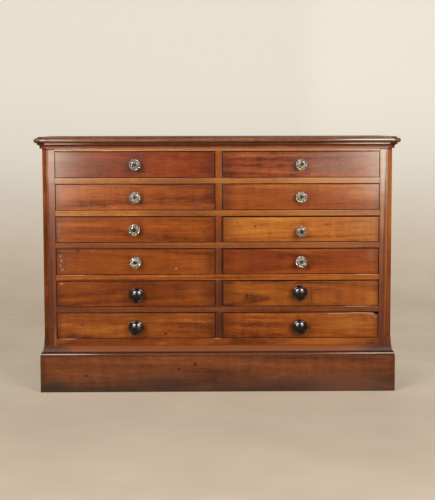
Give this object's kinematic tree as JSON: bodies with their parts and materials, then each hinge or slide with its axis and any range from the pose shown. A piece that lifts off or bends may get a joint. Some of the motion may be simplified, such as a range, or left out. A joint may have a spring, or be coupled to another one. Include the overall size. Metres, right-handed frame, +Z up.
{
  "type": "haberdashery cabinet",
  "caption": "Wide low chest of small paired drawers with glass and turned wooden knobs, in a case with canted corners, a moulded top and a plinth.",
  "frame": {"origin": "on the floor under the middle of the whole cabinet, knobs included", "axes": "+Z up, the drawers open towards -Y, +X to the right as seen from the front"},
  "size_m": [1.254, 0.514, 0.88],
  "materials": {
    "case_wood": "waxed, worn",
    "rail_wood": "waxed, worn",
    "drawer_wood": "polished, worn",
    "inside_wood": "bare",
    "knob_glass": "cut and polished",
    "knob_black_wood": "ebonised and polished"
  },
  "bodies": {
    "case": {"top_board": "case_wood", "cornice_front": "case_wood", "cornice_left": "case_wood", "cornice_right": "case_wood", "corner_post_left": "rail_wood", "corner_post_right": "rail_wood", "side_panel_left": "case_wood", "side_panel_right": "case_wood", "drawer_shelf_1": "rail_wood", "drawer_shelf_2": "rail_wood", "drawer_shelf_3": "rail_wood", "drawer_shelf_4": "rail_wood", "drawer_shelf_5": "rail_wood", "bottom_board": "inside_wood", "bottom_rail": "rail_wood", "top_rail": "rail_wood", "centre_partition": "rail_wood", "back_boards": "inside_wood", "plinth_left": "case_wood", "plinth_front": "case_wood", "plinth_right": "case_wood", "plinth_back": "inside_wood", "plinth_block_left": "inside_wood", "plinth_block_right": "inside_wood"},
    "drawer_l1": {"drawer_l1_front": "drawer_wood", "drawer_l1_tray": "inside_wood", "drawer_l1_knob": "knob_glass"},
    "drawer_l2": {"drawer_l2_front": "drawer_wood", "drawer_l2_tray": "inside_wood", "drawer_l2_knob": "knob_glass"},
    "drawer_l3": {"drawer_l3_front": "drawer_wood", "drawer_l3_tray": "inside_wood", "drawer_l3_knob": "knob_glass"},
    "drawer_l4": {"drawer_l4_front": "drawer_wood", "drawer_l4_tray": "inside_wood", "drawer_l4_knob": "knob_glass"},
    "drawer_l5": {"drawer_l5_front": "drawer_wood", "drawer_l5_tray": "inside_wood", "drawer_l5_knob": "knob_black_wood"},
    "drawer_l6": {"drawer_l6_front": "drawer_wood", "drawer_l6_tray": "inside_wood", "drawer_l6_knob": "knob_black_wood"},
    "drawer_r1": {"drawer_r1_front": "drawer_wood", "drawer_r1_tray": "inside_wood", "drawer_r1_knob": "knob_glass"},
    "drawer_r2": {"drawer_r2_front": "drawer_wood", "drawer_r2_tray": "inside_wood", "drawer_r2_knob": "knob_glass"},
    "drawer_r3": {"drawer_r3_front": "drawer_wood", "drawer_r3_tray": "inside_wood", "drawer_r3_knob": "knob_glass"},
    "drawer_r4": {"drawer_r4_front": "drawer_wood", "drawer_r4_tray": "inside_wood", "drawer_r4_knob": "knob_glass"},
    "drawer_r5": {"drawer_r5_front": "drawer_wood", "drawer_r5_tray": "inside_wood", "drawer_r5_knob": "knob_black_wood"},
    "drawer_r6": {"drawer_r6_front": "drawer_wood", "drawer_r6_tray": "inside_wood", "drawer_r6_knob": "knob_black_wood"}
  },
  "joints": [
    {"name": "drawer_l1_slide", "type": "slide", "parent": "case", "child": "drawer_l1", "axis": [0, -1, 0], "range_m": [0, 0.36]},
    {"name": "drawer_l2_slide", "type": "slide", "parent": "case", "child": "drawer_l2", "axis": [0, -1, 0], "range_m": [0, 0.36]},
    {"name": "drawer_l3_slide", "type": "slide", "parent": "case", "child": "drawer_l3", "axis": [0, -1, 0], "range_m": [0, 0.36]},
    {"name": "drawer_l4_slide", "type": "slide", "parent": "case", "child": "drawer_l4", "axis": [0, -1, 0], "range_m": [0, 0.36]},
    {"name": "drawer_l5_slide", "type": "slide", "parent": "case", "child": "drawer_l5", "axis": [0, -1, 0], "range_m": [0, 0.36]},
    {"name": "drawer_l6_slide", "type": "slide", "parent": "case", "child": "drawer_l6", "axis": [0, -1, 0], "range_m": [0, 0.36]},
    {"name": "drawer_r1_slide", "type": "slide", "parent": "case", "child": "drawer_r1", "axis": [0, -1, 0], "range_m": [0, 0.36]},
    {"name": "drawer_r2_slide", "type": "slide", "parent": "case", "child": "drawer_r2", "axis": [0, -1, 0], "range_m": [0, 0.36]},
    {"name": "drawer_r3_slide", "type": "slide", "parent": "case", "child": "drawer_r3", "axis": [0, -1, 0], "range_m": [0, 0.36]},
    {"name": "drawer_r4_slide", "type": "slide", "parent": "case", "child": "drawer_r4", "axis": [0, -1, 0], "range_m": [0, 0.36]},
    {"name": "drawer_r5_slide", "type": "slide", "parent": "case", "child": "drawer_r5", "axis": [0, -1, 0], "range_m": [0, 0.36]},
    {"name": "drawer_r6_slide", "type": "slide", "parent": "case", "child": "drawer_r6", "axis": [0, -1, 0], "range_m": [0, 0.36]}
  ]
}
